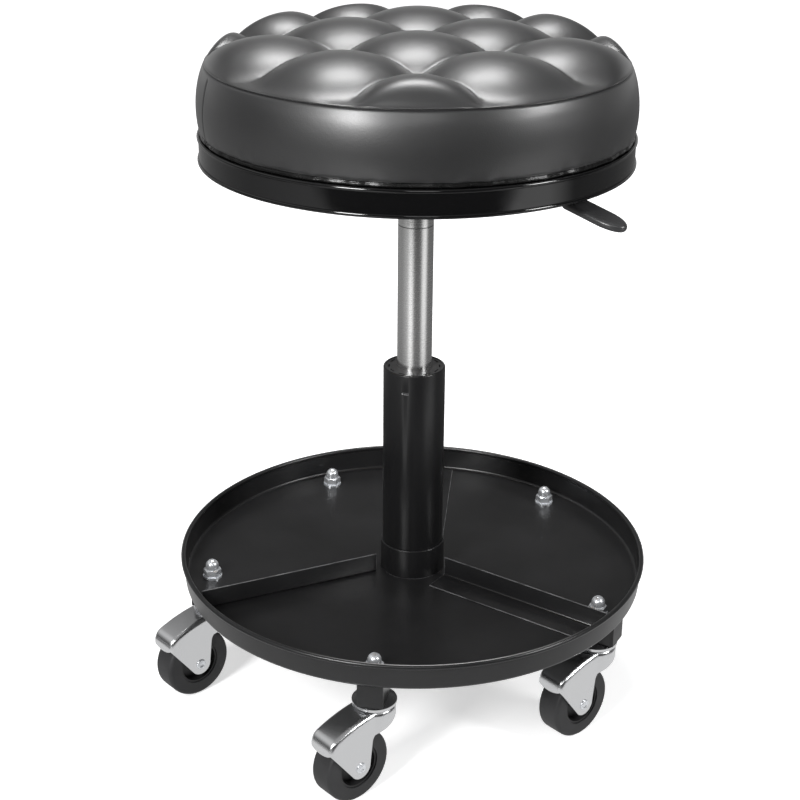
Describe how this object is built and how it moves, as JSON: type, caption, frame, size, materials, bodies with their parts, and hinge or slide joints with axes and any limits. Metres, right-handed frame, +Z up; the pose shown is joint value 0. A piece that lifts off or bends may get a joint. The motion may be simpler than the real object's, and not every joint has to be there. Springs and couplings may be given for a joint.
{
  "type": "creeper seat",
  "caption": "Low rolling work stool: puffed round seat on a gas lift over a round divided tool tray and a star frame on hooded swivel casters.",
  "frame": {"origin": "axis of the seat's column at floor level", "axes": "+Z up along the column, -Y towards the side seen in the picture, +X to its right"},
  "size_m": [0.4065, 0.4031, 0.5518],
  "materials": {
    "tray_paint": "satin black powder coat",
    "column_paint": "satin black paint",
    "black_plastic": "moulded black plastic",
    "plain_steel": "plain turned steel",
    "dark_rubber": "moulded rubber",
    "bright_zinc": "bright zinc plating",
    "chrome_plate": "bright chrome plating",
    "nylon": "dark nylon",
    "brushed_tube": "fine turned finish, bright",
    "plywood": "plain plywood",
    "ring_gloss": "gloss black",
    "foam": "open foam",
    "black_vinyl": "satin vinyl with fine grain",
    "tyre_rubber": "smooth black rubber"
  },
  "bodies": {
    "base": {"tray_pan": "tray_paint", "divider_right": "tray_paint", "divider_rear": "tray_paint", "divider_left": "tray_paint", "column_collar": "column_paint", "hub_sleeve": "tray_paint", "frame_legs": "tray_paint", "leg_caps": "black_plastic", "outer_tube": "column_paint", "tube_base": "column_paint", "guide_bush": "black_plastic", "thrust_bearing": "plain_steel", "bump_stop": "dark_rubber", "caster_studs": "bright_zinc", "caster_cups": "chrome_plate", "caster_balls": "plain_steel", "cap_nuts": "bright_zinc", "nut_washers": "bright_zinc"},
    "spindle": {"piston_rod": "plain_steel", "piston": "nylon", "rod_clip": "plain_steel"},
    "seat": {"gas_cylinder": "brushed_tube", "rod_gland": "nylon", "seat_socket": "column_paint", "seat_plate": "column_paint", "lever_pin": "plain_steel", "seat_board": "plywood", "seat_bolts": "plain_steel", "tee_nuts": "plain_steel", "seat_ring": "ring_gloss", "firm_foam": "foam", "cushion": "black_vinyl"},
    "lever": {"lever_bar": "column_paint", "lever_grip": "black_plastic"},
    "valve": {"valve_pin": "plain_steel"},
    "caster_1": {"fork_1": "chrome_plate", "axle_1": "bright_zinc"},
    "wheel_1": {"hub_1": "black_plastic", "tyre_1": "tyre_rubber"},
    "caster_2": {"fork_2": "chrome_plate", "axle_2": "bright_zinc"},
    "wheel_2": {"hub_2": "black_plastic", "tyre_2": "tyre_rubber"},
    "caster_3": {"fork_3": "chrome_plate", "axle_3": "bright_zinc"},
    "wheel_3": {"hub_3": "black_plastic", "tyre_3": "tyre_rubber"},
    "caster_4": {"fork_4": "chrome_plate", "axle_4": "bright_zinc"},
    "wheel_4": {"hub_4": "black_plastic", "tyre_4": "tyre_rubber"},
    "caster_5": {"fork_5": "chrome_plate", "axle_5": "bright_zinc"},
    "wheel_5": {"hub_5": "black_plastic", "tyre_5": "tyre_rubber"}
  },
  "joints": [
    {"name": "seat_swivel", "type": "hinge", "parent": "base", "child": "spindle", "pos_m": [0, 0, 0.0844], "axis": [0, 0, 1], "continuous": true},
    {"name": "seat_lift", "type": "slide", "parent": "spindle", "child": "seat", "axis": [0, 0, 1], "range_m": [-0.1, 0.015]},
    {"name": "lever_tilt", "type": "hinge", "parent": "seat", "child": "lever", "pos_m": [0.02605, -0.02185, 0.4459], "axis": [-0.6428, -0.766, 0], "range_deg": [0, 2.5], "stiffness_Nm_per_rad": 4, "springref_deg": -3.44},
    {"name": "valve_slide", "type": "slide", "parent": "seat", "child": "valve", "axis": [0, 0, 1], "range_m": [-0.0016, 0]},
    {"name": "caster_swivel_1", "type": "hinge", "parent": "base", "child": "caster_1", "pos_m": [0.14942, -0.07745, 0.0726], "axis": [0, 0, 1], "continuous": true},
    {"name": "wheel_spin_1", "type": "hinge", "parent": "caster_1", "child": "wheel_1", "pos_m": [0.13143, -0.09365, 0.0295], "axis": [0.6691, -0.7431, 0], "continuous": true},
    {"name": "caster_swivel_2", "type": "hinge", "parent": "base", "child": "caster_2", "pos_m": [0.11983, 0.11817, 0.0726], "axis": [0, 0, 1], "continuous": true},
    {"name": "wheel_spin_2", "type": "hinge", "parent": "caster_2", "child": "wheel_2", "pos_m": [0.10185, 0.10198, 0.0295], "axis": [0.6691, -0.7431, 0], "continuous": true},
    {"name": "caster_swivel_3", "type": "hinge", "parent": "base", "child": "caster_3", "pos_m": [-0.07536, 0.15049, 0.0726], "axis": [0, 0, 1], "continuous": true},
    {"name": "wheel_spin_3", "type": "hinge", "parent": "caster_3", "child": "wheel_3", "pos_m": [-0.09334, 0.13429, 0.0295], "axis": [0.6691, -0.7431, 0], "continuous": true},
    {"name": "caster_swivel_4", "type": "hinge", "parent": "base", "child": "caster_4", "pos_m": [-0.16641, -0.02517, 0.0726], "axis": [0, 0, 1], "continuous": true},
    {"name": "wheel_spin_4", "type": "hinge", "parent": "caster_4", "child": "wheel_4", "pos_m": [-0.18439, -0.04136, 0.0295], "axis": [0.6691, -0.7431, 0], "continuous": true},
    {"name": "caster_swivel_5", "type": "hinge", "parent": "base", "child": "caster_5", "pos_m": [-0.02749, -0.16604, 0.0726], "axis": [0, 0, 1], "continuous": true},
    {"name": "wheel_spin_5", "type": "hinge", "parent": "caster_5", "child": "wheel_5", "pos_m": [-0.04547, -0.18223, 0.0295], "axis": [0.6691, -0.7431, 0], "continuous": true}
  ],
  "couplings": [
    {"joint": "valve_slide", "follows": "lever_tilt", "m_per_rad": -0.034}
  ]
}
